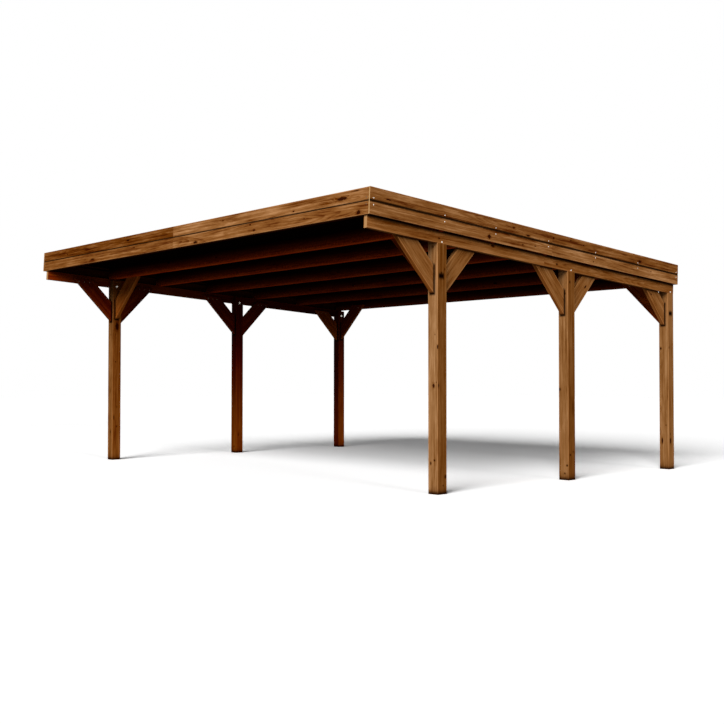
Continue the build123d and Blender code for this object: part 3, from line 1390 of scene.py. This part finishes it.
@dataclass
class PackedTimbers:
    """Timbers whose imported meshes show, each with a stain laid along its own grain."""

    stain: StainedTimber
    unworn_stain: StainedTimber
    framework: Framework
    plain: Tones = Tones.stained(138, 26, 2)
    brace_cut: Colour = tone(170, 118, 68)
    brace_spread: float = 24.0
    # Reach and power of the shade painted on the braces beside their post and beam.
    brace_reach: float = 24 * MM
    brace_power: float = 0.9
    beam_tones: Tones = Tones.stained(138, 28, 8, tone(190, 142, 92))
    # Power of the fascia's shadow painted on the beams below the eaves.
    beam_power: float = 0.35
    # Painted shade on the beams' inner faces: deeper and redder tones, deepest on the rear halves.
    beam_inside_levels: tuple[tuple[str, float], ...] = (("front", 120), ("rear", 90))
    beam_inside_spread: float = 18.0
    beam_inside_redder: float = 32.0
    # Rafters: a red-brown raised to make up for the little light under the roof, falling toward the rear and
    # darkest on the rafter behind the front boards; all painted light and shade.
    rafter_level: float = 216.0
    rafter_fall: float = 13.0
    hidden_rafter_level: float = 60.0
    rafter_reach: float = 127 * MM
    rafter_power: float = 0.22

    def dress(self, timber: Timber, stain: StainedTimber) -> None:
        """Give one node its own stain, with the knots that are set for it.

        Args:
            timber: The timber and what touches it.
            stain: Its stain.
        """
        timber = replace(timber, knots=KNOTS.get(timber.name, ()))
        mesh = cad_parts[timber.name].data
        mesh.materials.clear()
        mesh.materials.append(stain.material(timber))
        log.info("%s: stained, %d knots set", timber.name, len(timber.knots))

    def dress_posts(self, row: Row, side: Side) -> None:
        """Stain a post and the braces that land on it.

        Args:
            row: Row of the post.
            side: Its side.
        """
        name = f"post_{row.value}_{side.word}"
        post = self.framework.post(row, side)
        braces = self.framework.braces(row, side)
        lies = tuple(self.framework.brace(node) for node in braces)
        front, right = POST_TONES[name]
        # Painted light and shade: the front and the right face take tones of their own; shade is painted
        # beside the braces, and on the left posts high under the roof.
        sides = ((-REARWARD, front), (ACROSS, right))
        shared = {"sides": sides, "seams": lies, "damp": True, "shelter": POST_ROOF_SHADE.get(name, FULL)}
        self.dress(Timber(name, post, self.plain, **shared), self.stain)
        beam = self.framework.roof.down_lie(f"beam_{'front' if row is Row.FRONT else 'rear'}_{side.word}")
        shared = {"seams": (post, beam), "seam_reach": self.brace_reach, "seam_power": self.brace_power}
        for node, lie in zip(braces, lies):
            # Painted light and shade on the inner and the lower face, and painted shade beside the post and
            # the beam.
            outer_tones, sheltered, lower = self.brace_tones(node, row, side)
            sides = ((-side.outward, sheltered), (-UPRIGHT, lower))
            self.dress(Timber(node, lie, outer_tones, sides, **shared), self.stain)

    def brace_tones(self, node: str, row: Row, side: Side) -> list[Tones]:
        """Give the tones of a brace outside and inside the carport and on its lower face, the inner and the
        lower ones painted light and shade.

        Args:
            node: Node name of the brace.
            row: Row of its post.
            side: Its side.

        Returns:
            The tones of the outer, the inner and the lower face.
        """
        levels = CROSS_LEVELS if node.startswith("cross") else KNEE_LEVELS
        key = "right" if side is Side.RIGHT else f"{row.value}_left"
        spread, cut = self.brace_spread, self.brace_cut
        return [Tones.stained(level, spread, redder, cut) for level, redder in levels[key]]

    def dress_beams(self, side: Side) -> None:
        """Stain both halves of a beam, with painted shade: darker and redder inside, and the fascia's shadow
        painted below the eaves.

        Args:
            side: Side of the beam.
        """
        for half, level in self.beam_inside_levels:
            name = f"beam_{half}_{side.word}"
            inside = Tones.stained(level, self.beam_inside_spread, self.beam_inside_redder)
            shared = {"sides": ((-side.outward, inside),), "seams": (self.framework.eaves(side),)}
            lie = self.framework.roof.down_lie(name)
            self.dress(Timber(name, lie, self.beam_tones, seam_power=self.beam_power, **shared), self.stain)

    def dress_rafters(self) -> None:
        """Stain the rafters, with painted shade that is darkest up beside the roof boards."""
        roof = self.framework.roof
        decks = tuple(roof.deck_lie(f"roof_deck_{half}") for half in ("front", "rear"))
        shared = {"seams": decks, "seam_reach": self.rafter_reach, "seam_power": self.rafter_power}
        for number in RAFTERS:
            name = f"rafter_{number}"
            rafter = Timber(name, roof.cross_lie(name), self.rafter_tones(number), **shared)
            self.dress(rafter, self.unworn_stain)

    def rafter_tones(self, number: int) -> Tones:
        """Give the red-brown tones of a rafter, painted light and shade: deeper toward the rear and darkest
        behind the front boards.

        Args:
            number: Number of the rafter, from the front.

        Returns:
            Its tones.
        """
        level = self.hidden_rafter_level
        if number > RAFTERS[0]:
            level = self.rafter_level - self.rafter_fall * (number - RAFTERS[0])
        pale = tone(level * 1.08, level * 0.44, level * 0.09)
        deep = tone(level * 0.72, level * 0.18, level * 0.02)
        return Tones(pale, tone(level, level * 0.34, level * 0.05), deep)

    def build(self) -> None:
        """Stain every packed timber."""
        for side in Side:
            for row in Row:
                self.dress_posts(row, side)
            self.dress_beams(side)
        self.dress_rafters()


# ---- fascia -------------------------------------------------------------------------------------
@dataclass
class Fascia:
    """Two courses of boards round the roof, each course of two boards end to end on every side.

    The lower board has a tongue that closes the groove between the courses. The side boards stand back
    a little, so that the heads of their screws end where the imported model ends.
    """

    stain: StainedTimber
    roof: RoofPlane
    # Tones of the boards' inner faces: painted shade.
    sheltered: Tones = Tones(tone(90, 40, 14), tone(76, 28, 8), tone(50, 12, 4))
    side_joint: float = 2.585
    end_joint: float = 2.990
    end_gap: float = 1.5 * MM
    edge: float = 2.0 * MM
    groove: float = 3.0 * MM
    tongue: float = 7.0 * MM
    plain_level: float = 136.0
    spread: float = 38.0
    redder: float = 5.0
    # Painted shade along the groove between the courses: how far it reaches past the groove on the end and
    # the side boards, and its power.
    end_soak: float = 8 * MM
    side_soak: float = 13 * MM
    end_power: float = 0.35
    side_power: float = 0.2

    def board(self, name: str, lie: Lie, outward: float, gap: float) -> Piece:
        """Model one board with eased edges, a chamfer along the groove and, on a lower board, a tongue.

        Args:
            name: Name of the board.
            lie: How the board lies.
            outward: Sign of the board's own z that looks out of the carport.
            gap: Height of the groove above a lower board, or nothing on an upper board.

        Returns:
            The finished mesh, in place.
        """
        piece = Bench.cube(name, Vector((lie.length, lie.height, lie.thickness)))
        to_groove = 1 if gap else -1

        def on_groove(middle: Vector, way: Vector) -> bool:
            """Choose the long outer edge beside the groove."""
            return abs(way.x) > 0.9 and middle.y * to_groove > 0 and middle.z * outward > 0

        def on_others(middle: Vector, way: Vector) -> bool:
            """Choose the other three long edges."""
            return abs(way.x) > 0.9 and not on_groove(middle, way)

        def on_rim(middle: Vector, way: Vector) -> bool:
            """Choose the edge beside the groove once the others are eased."""
            return on_groove(middle, way) and abs(middle.y) > lie.height / 2 - self.edge / 10

        Bench.pick(piece, "EDGE", on_others)
        bpy.ops.mesh.bevel(offset=self.edge, segments=3, affect="EDGES")
        Bench.pick(piece, "EDGE", on_rim)
        bpy.ops.mesh.bevel(offset=self.groove, segments=1, affect="EDGES")
        if gap:
            for place in (-self.tongue / 2, self.tongue / 2):
                Bench.cut(piece, UPRIGHT * place, UPRIGHT)
            Bench.pick(piece, "FACE", lambda middle, way: way.y > 0.9 and abs(middle.z) < self.tongue / 2)
            bpy.ops.mesh.extrude_region_move(TRANSFORM_OT_translate={"value": (0, gap, 0)})
        Bench.clear()
        return Bench.move(piece, lie.matrix)

    def course(self, node: str, lie: Lie, other: Lie, out: Vector) -> None:
        """Lay two boards end to end in place of one node.

        Args:
            node: The CAD node that the boards replace.
            lie: How the course lies.
            other: How the other course on the same side lies.
            out: The way out of the carport.
        """
        across = lie.along == ACROSS
        words = ("left", "right") if across else ("near", "far")
        joint = self.end_joint if across else self.side_joint
        groove_shade = self.end_soak if across else self.side_soak
        space = (lie.middle - other.middle).length - lie.height
        outward = math.copysign(1, lie.along.cross(lie.up).dot(out))
        start = lie.middle - lie.along * lie.length / 2
        ends = ((0.0, joint - self.end_gap / 2), (joint + self.end_gap / 2, lie.length))
        # The inner face takes painted shade, and each board takes painted shade along the groove beside the
        # other course.
        sheltered = (-lie.along.cross(lie.up) * outward, self.sheltered)
        shared = {"sides": (sheltered,), "seams": (other,), "seam_reach": space + groove_shade}
        shared["seam_power"] = self.end_power if across else self.side_power
        for word, (begin, end) in zip(words, ends):
            name = f"{node}_{word}"
            part = replace(lie, middle=start + lie.along * (begin + end) / 2, length=end - begin)
            piece = self.board(name, part, outward, space if "lower" in node else 0.0)
            tones = Tones.stained(FASCIA_LEVELS.get(name, self.plain_level), self.spread, self.redder)
            timber = Timber(name, part, tones, knots=KNOTS.get(name, ()), **shared)
            Bench.finish(piece, self.stain.material(timber), "fascia_board", node)

    def side_lie(self, side: Side, course: str) -> Lie:
        """Lay out one course of a long side, with its face set back by the height of a screw head.

        Args:
            side: Side of the course.
            course: Upper or lower.

        Returns:
            How it lies.
        """
        lie = self.roof.down_lie(f"fascia_{side.word}_{course}")
        middle = lie.middle - side.outward * SCREW_HEAD / 2
        return replace(lie, middle=middle, thickness=lie.thickness - SCREW_HEAD)

    def build(self) -> None:
        """Lay every course."""
        for course, twin in (("upper", "lower"), ("lower", "upper")):
            for side in Side:
                lie, other = self.side_lie(side, course), self.side_lie(side, twin)
                self.course(f"fascia_{side.word}_{course}", lie, other, side.outward)
            for end, way in (("front", -1), ("rear", 1)):
                lie, other = (self.roof.cross_lie(f"fascia_{end}_{row}") for row in (course, twin))
                self.course(f"fascia_{end}_{course}", lie, other, self.roof.down * way)


# ---- roof ---------------------------------------------------------------------------------------
@dataclass
class RoofBoards:
    """Boards on the rafters, with a small chamfer along each lower edge."""

    stain: StainedTimber
    roof: RoofPlane
    # Near-black tones: painted shade, standing in for the dark under the roof.
    tones: Tones = Tones(tone(16, 6, 3), tone(11, 4, 2), tone(7, 2, 1), tone(4, 1, 1), tone(40, 22, 12))
    count: int = 50
    gap: float = 1.0 * MM
    chamfer: float = 4.0 * MM

    def build(self) -> None:
        """Lay the boards in place of both halves of the deck."""
        for node in ("roof_deck_front", "roof_deck_rear"):
            lie = self.roof.deck_lie(node)
            width = lie.height / self.count
            model = Bench.cube("roof_board", Vector((lie.length, lie.thickness, width - self.gap)))
            Bench.pick(model, "EDGE", lambda middle, way: abs(way.x) > 0.9 and middle.y < 0)
            bpy.ops.mesh.bevel(offset=self.chamfer, segments=1, affect="EDGES")
            Bench.clear()
            places = []
            for number in range(self.count):
                middle = lie.middle + ACROSS * ((number + 0.5) * width - lie.height / 2)
                places.append(replace(lie, middle=middle, up=self.roof.square).matrix)
            piece = Bench.repeat(node.replace("deck", "boards"), model, places)
            Bench.finish(piece, self.stain.material(Timber(piece.name, lie, self.tones)), "roof_deck", node)


@dataclass
class RoofFelt:
    """Felt laid in strips across the roof from the rear up, each lapped over the one below."""

    felt: MineralFelt
    roof: RoofPlane
    strip: float = 1.0
    lap: float = 0.10
    thickness: float = 2.0 * MM
    ramp: float = 0.02

    def build(self) -> None:
        """Lay the strips in place of the felt."""
        node = "roof_felt"
        lie = self.roof.down_lie(node)
        strips = []
        end = lie.length / 2
        while end > -lie.length / 2:
            start = max(end - self.strip, -lie.length / 2)
            strips.append(self.sheet(start, end, lie.thickness, flat=end >= lie.length / 2))
            end = start + self.lap if start > -lie.length / 2 else start
        piece = Bench.join("roof_felt_strips", strips)
        bottom = self.roof.offset(lie.middle, square=-lie.height / 2)
        Bench.move(piece, replace(lie, middle=bottom).matrix)
        Bench.finish(piece, self.felt.material(), "roof_felt", node)

    def sheet(self, start: float, end: float, width: float, flat: bool) -> Piece:
        """Model one strip, with its lower edge lifted over the next strip unless it lies flat.

        Args:
            start: Place of its upper end, measured down the slope from the roof's middle.
            end: Place of its lower end.
            width: Its width across the roof.
            flat: Whether it lies flat.

        Returns:
            The strip.
        """
        piece = Bench.cube("felt_strip", Vector((end - start, self.thickness, width)))
        Bench.move(piece, Matrix.Translation(((start + end) / 2, self.thickness / 2, 0)))
        if flat:
            return piece
        for place in (end - self.lap - self.ramp, end - self.lap):
            Bench.cut(piece, ACROSS * place, ACROSS)
        Bench.pick(piece, "FACE", lambda middle, way: middle.x > end - self.lap)
        bpy.ops.transform.translate(value=(0, self.thickness, 0))
        Bench.clear()
        return piece


# ---- fixings ------------------------------------------------------------------------------------
Spots = list[tuple[Vector, Vector]]


@dataclass
class Fixings:
    """Screws and bolts, each kind modelled once and copied to its places.

    A spot is the place where a fixing sits and the way that it looks.
    """

    zinc: bpy.types.Material
    dull_zinc: bpy.types.Material
    roof: RoofPlane
    screw_radius: float = 5.4 * MM
    dome_radius: float = 8.5 * MM
    dome_height: float = 4.5 * MM
    dome_steps: tuple[tuple[float, float], ...] = ((0.86, 0.0), (0.80, 0.5 * MM), (0.6, 0.4 * MM))
    bolt_radius: float = 9.8 * MM
    washer_radius: float = 15.0 * MM
    washer_height: float = 2.5 * MM
    nut_height: float = 8.0 * MM
    thread_radius: float = 5.0 * MM
    thread_proud: float = 6.0 * MM
    above_groove: float = 29.5 * MM
    below_middle: float = 6 * MM
    bolt_rise: float = 14 * MM
    bolt_lead: float = 6 * MM
    end_inset: float = 28 * MM
    brace_screws: tuple[float, ...] = (66 * MM, 141 * MM, 216 * MM)
    brace_screw_rise: float = 22 * MM
    cross_screw_out: float = 2.434
    cross_screw_rise: float = 120 * MM

    def screw(self) -> Piece:
        """Model a screw with a broad rounded head and a recess.

        Returns:
            The screw.
        """
        head = Bench.prism("screw", 24, self.screw_radius, SCREW_HEAD)
        bpy.ops.mesh.bevel(offset=SCREW_HEAD * 0.7, segments=3, affect="EDGES")
        Bench.pick(head, "FACE", lambda middle, way: way.z > 0.99)
        bpy.ops.mesh.inset(thickness=self.screw_radius * 0.22)
        bpy.ops.mesh.extrude_region_move(TRANSFORM_OT_translate={"value": (0, 0, -SCREW_HEAD * 0.5)})
        bpy.ops.transform.resize(value=(0.8, 0.8, 1.0))
        Bench.clear()
        return head

    def bolt_head(self) -> Piece:
        """Model the domed head of a coach bolt.

        Returns:
            The bolt head.
        """
        head = Bench.prism("bolt_head", 28, self.dome_radius, self.dome_height)
        for number, (width, rise) in enumerate(self.dome_steps, 1):
            bpy.ops.transform.resize(value=(width, width, 1.0), center_override=(0, 0, self.dome_height))
            if rise:
                bpy.ops.transform.translate(value=(0, 0, rise))
            if number < len(self.dome_steps):
                bpy.ops.mesh.extrude_region_move(TRANSFORM_OT_translate={"value": (0, 0, 0)})
        Bench.clear()
        return head

    def nut(self) -> Piece:
        """Model a chamfered nut on its eased washer, with the end of the thread standing out of it.

        Returns:
            The nut with its washer and thread.
        """
        body = Bench.prism("hexagon", 6, self.bolt_radius, self.nut_height)
        bpy.ops.mesh.inset(thickness=self.bolt_radius * 0.14)
        bpy.ops.transform.translate(value=(0, 0, self.nut_height * 0.14))
        Bench.clear()
        Bench.move(body, Matrix.Translation((0, 0, self.washer_height)))
        reach = self.washer_height + self.nut_height + self.thread_proud
        thread = Bench.prism("thread", 16, self.thread_radius, reach)
        bpy.ops.mesh.bevel(offset=self.thread_radius * 0.2, segments=1, affect="EDGES")
        washer = Bench.prism("washer", 32, self.washer_radius, self.washer_height)
        bpy.ops.mesh.bevel(offset=self.washer_height * 0.3, segments=2, affect="EDGES")
        return Bench.join("nut", [washer, body, thread])

    def set_out(self, name: str, model: Piece, spots: Spots, dim: bool = False) -> None:
        """Copy a fixing to its spots and dress the joined piece.

        Args:
            name: Name of the joined piece.
            model: The fixing.
            spots: Where its copies sit.
            dim: Whether it takes the dim copy of the zinc, painted shade on the fixings that sit in shade.
        """
        places = []
        for point, way in spots:
            places.append(Matrix.Translation(point) @ way.to_track_quat("Z", "Y").to_matrix().to_4x4())
        piece = Bench.repeat(name, model, places)
        for face in piece.data.polygons:
            face.use_smooth = False
        Bench.finish(piece, self.dull_zinc if dim else self.zinc, "galvanised_steel")

    def fascia_screws(self, side: Side) -> None:
        """Drive a pair of screws into each side board at every rafter.

        Args:
            side: Side of the boards.
        """
        upper, lower = f"fascia_{side.word}_upper", f"fascia_{side.word}_lower"
        groove = (middle_of(upper) + middle_of(lower)) / 2
        face = outer_x(upper, side) - side.value * SCREW_HEAD
        spots = []
        for number in RAFTERS:
            down = (middle_of(f"rafter_{number}") - groove).dot(self.roof.down)
            for sign in (-1, 1):
                point = self.roof.offset(groove, down, sign * self.above_groove - self.below_middle)
                spots.append((Vector((face, point.y, point.z)), side.outward))
        self.set_out(f"fascia_screws_{side.word}", self.screw(), spots)

    def post_bolts(self, side: Side) -> None:
        """Bolt the beam to each post, with the nut on the inner face.

        Args:
            side: Side of the posts.
        """
        heads = []
        nuts = []
        for row in Row:
            post = f"post_{row.value}_{side.word}"
            y = middle_of(post).y - self.bolt_lead
            z = self.beam_underside(side, y) + self.bolt_rise
            heads.append((Vector((outer_x(post, side), y, z)), side.outward))
            nuts.append((Vector((inner_x(post, side), y, z)), -side.outward))
        self.set_out(f"bolt_heads_{side.word}", self.bolt_head(), heads)
        # The nuts on the right sit in shade: their dim zinc is painted shade.
        self.set_out(f"bolt_nuts_{side.word}", self.nut(), nuts, dim=side is Side.RIGHT)

    def end_screws(self) -> None:
        """Drive a pair of screws into each end of the front and rear boards."""
        for end, way in (("front", -1), ("rear", 1)):
            upper, lower = f"fascia_{end}_upper", f"fascia_{end}_lower"
            out = self.roof.down * way
            face = (middle_of(upper) + middle_of(lower)) / 2 + out * self.roof.extent(upper)[0] / 2
            low, high = corners(upper)
            spots = []
            for x in (low.x + self.end_inset, high.x - self.end_inset):
                for sign in (-1, 1):
                    point = self.roof.offset(face, square=sign * self.above_groove)
                    spots.append((Vector((x, point.y, point.z)), out))
            self.set_out(f"fascia_screws_{end}", self.screw(), spots, dim=True)

    def brace_head_screws(self, side: Side) -> None:
        """Drive screws through the head of each knee brace into the beam.

        Args:
            side: Side of the braces.
        """
        spots = []
        for node in sorted(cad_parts):
            if not (node.startswith("knee_brace") and f"_{side.word}_" in node):
                continue
            low, high = corners(node)
            head, way = (low.y, 1) if node.endswith("_fore") else (high.y, -1)
            for reach in self.brace_screws:
                y = head + way * reach
                z = self.beam_underside(side, y) + self.brace_screw_rise
                spots.append((Vector((inner_x(node, side), y, z)), -side.outward))
        # The brace screws sit in shade: their dim zinc is painted shade.
        self.set_out(f"brace_screws_{side.word}", self.screw(), spots, dim=True)

    def cross_brace_screw(self, side: Side) -> None:
        """Drive a screw through the head of the rear cross brace into the last rafter.

        Args:
            side: Side of the brace.
        """
        y = corners(f"cross_brace_rear_{side.word}")[0].y
        z = self.beam_underside(side, y) + self.cross_screw_rise
        spot = (Vector((side.value * self.cross_screw_out, y, z)), -REARWARD)
        # This screw sits in shade: its dim zinc is painted shade.
        self.set_out(f"cross_brace_screw_{side.word}", self.screw(), [spot], dim=True)

    def beam_underside(self, side: Side, y: float) -> float:
        """Give the height of the beam's underside at a distance y from the origin.

        Args:
            side: Side of the beam.
            y: Place along the carport.

        Returns:
            The height in metres.
        """
        lie = self.roof.down_lie(f"beam_rear_{side.word}")
        below = self.roof.offset(lie.middle, square=-lie.height / 2)
        return below.z + (y - below.y) * self.roof.down.z / self.roof.down.y

    def build(self) -> None:
        """Set out every fixing."""
        self.end_screws()
        for side in Side:
            self.fascia_screws(side)
            self.post_bolts(side)
            self.brace_head_screws(side)
            self.cross_brace_screw(side)


# ---- studio -------------------------------------------------------------------------------------
@dataclass(frozen=True)
class Sun:
    """A lamp far off: how strong it is, how wide it looks and where it hangs, in degrees.

    The bearing runs from straight in front of the carport toward its right.
    """

    name: str
    strength: float
    width: float
    bearing: float
    height: float

    def hang(self) -> None:
        """Hang the lamp, shining at the carport."""
        data = bpy.data.lights.new(self.name, "SUN")
        data.energy = self.strength
        data.angle = math.radians(self.width)
        lamp = bpy.data.objects.new(self.name, data)
        bpy.context.scene.collection.objects.link(lamp)
        round_about, up = math.radians(self.bearing), math.radians(self.height)
        level = Vector((-math.sin(round_about), math.cos(round_about), 0)) * math.cos(up)
        travel = level - UPRIGHT * math.sin(up)
        lamp.rotation_euler = travel.to_track_quat("-Z", "Y").to_euler()


@dataclass
class Studio:
    """A plain pale floor, a soft key light, even light all round and the camera."""

    camera_place: tuple[float, float, float] = (9.1595, -8.4357, 1.0011)
    camera_pitch: float = 1.2701
    camera_yaw: float = 46.6296
    camera_roll: float = 0.033
    lens: float = 50.192
    sensor: float = 36.0
    suns: tuple[Sun, ...] = (Sun("key", 3.4, 32.0, 24.0, 27.2), Sun("side_fill", 1.15, 12.0, 78.0, 6.5))
    room_strength: float = 0.05
    floor_size: float = 120.0
    floor_pale: float = 1.79
    floor_bounce: float = 0.24

    def camera(self) -> None:
        """Set up the camera."""
        data = bpy.data.cameras.new("camera")
        data.lens = self.lens
        data.sensor_width = self.sensor
        camera = bpy.data.objects.new("camera", data)
        bpy.context.scene.collection.objects.link(camera)
        camera.location = self.camera_place
        level = Matrix.Rotation(math.radians(self.camera_yaw), 3, "Z")
        raised = level @ Matrix.Rotation(math.radians(90 + self.camera_pitch), 3, "X")
        rolled = raised @ Matrix.Rotation(math.radians(self.camera_roll), 3, "Z")
        camera.rotation_euler = rolled.to_euler()
        bpy.context.scene.camera = camera

    @staticmethod
    def seen(nodes: Nodes) -> Socket:
        """Tell whether the camera looks at the surface, straight or by way of glass or a gloss.

        Args:
            nodes: The tree's nodes.

        Returns:
            1 where the camera looks, otherwise 0.
        """
        rays = nodes.add("LightPath").outputs
        through = nodes.math("MAXIMUM", rays["Is Camera Ray"], rays["Is Transmission Ray"])
        return nodes.math("MAXIMUM", through, rays["Is Glossy Ray"])

    def room(self) -> None:
        """Light the room evenly, with a white backdrop for the camera and for reflections."""
        world = bpy.data.worlds.new("room")
        world.use_nodes = True
        nodes = Nodes(world.node_tree)
        background = world.node_tree.nodes["Background"]
        nodes.feed(background.inputs["Color"], FULL)
        strength = nodes.step(self.seen(nodes), 0.0, 1.0, self.room_strength, 1.0)
        nodes.feed(background.inputs["Strength"], strength)
        bpy.context.scene.world = world

    def floor(self) -> None:
        """Lay a pale floor that keeps the shadow and gives little light back."""
        Bench.clear()
        bpy.ops.mesh.primitive_plane_add(size=self.floor_size)
        floor = bpy.context.object
        floor.name = "floor"
        made = bpy.data.materials.new("pale_floor")
        made.use_nodes = True
        nodes = Nodes(made.node_tree)
        made.node_tree.nodes.remove(made.node_tree.nodes["Principled BSDF"])
        colour = nodes.blend(self.seen(nodes), (self.floor_bounce,) * 3, (self.floor_pale,) * 3)
        shader = nodes.fed("BsdfDiffuse", colour)
        nodes.feed(made.node_tree.nodes["Material Output"].inputs["Surface"], shader.outputs["BSDF"])
        floor.data.materials.append(made)

    def build(self) -> None:
        """Set up the studio."""
        self.camera()
        for sun in self.suns:
            sun.hang()
        self.room()
        self.floor()
        bpy.context.scene.view_settings.view_transform = "Standard"


def main() -> None:
    """Build every sub-assembly in order and report each piece."""
    logging.basicConfig(level=logging.INFO, format="%(name)s: %(message)s")
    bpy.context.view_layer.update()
    effects = Effects()
    roof = RoofPlane.from_rafters()
    stain = StainedTimber(effects)
    unworn_stain = StainedTimber(effects, arris_reach=0.1 * MM)
    zinc = Zinc(effects).material()
    # A dim copy of the zinc; on the fixings that sit in shade it is painted shade.
    dull_zinc = Zinc(effects, "dull_zinc", tone(96, 84, 70), tone(126, 112, 96), 0.6).material()
    PackedTimbers(stain, unworn_stain, Framework(roof)).build()
    Fascia(stain, roof).build()
    RoofBoards(unworn_stain, roof).build()
    RoofFelt(MineralFelt(effects), roof).build()
    Fixings(zinc, dull_zinc, roof).build()
    Studio().build()


if __name__ == "__main__":
    main()
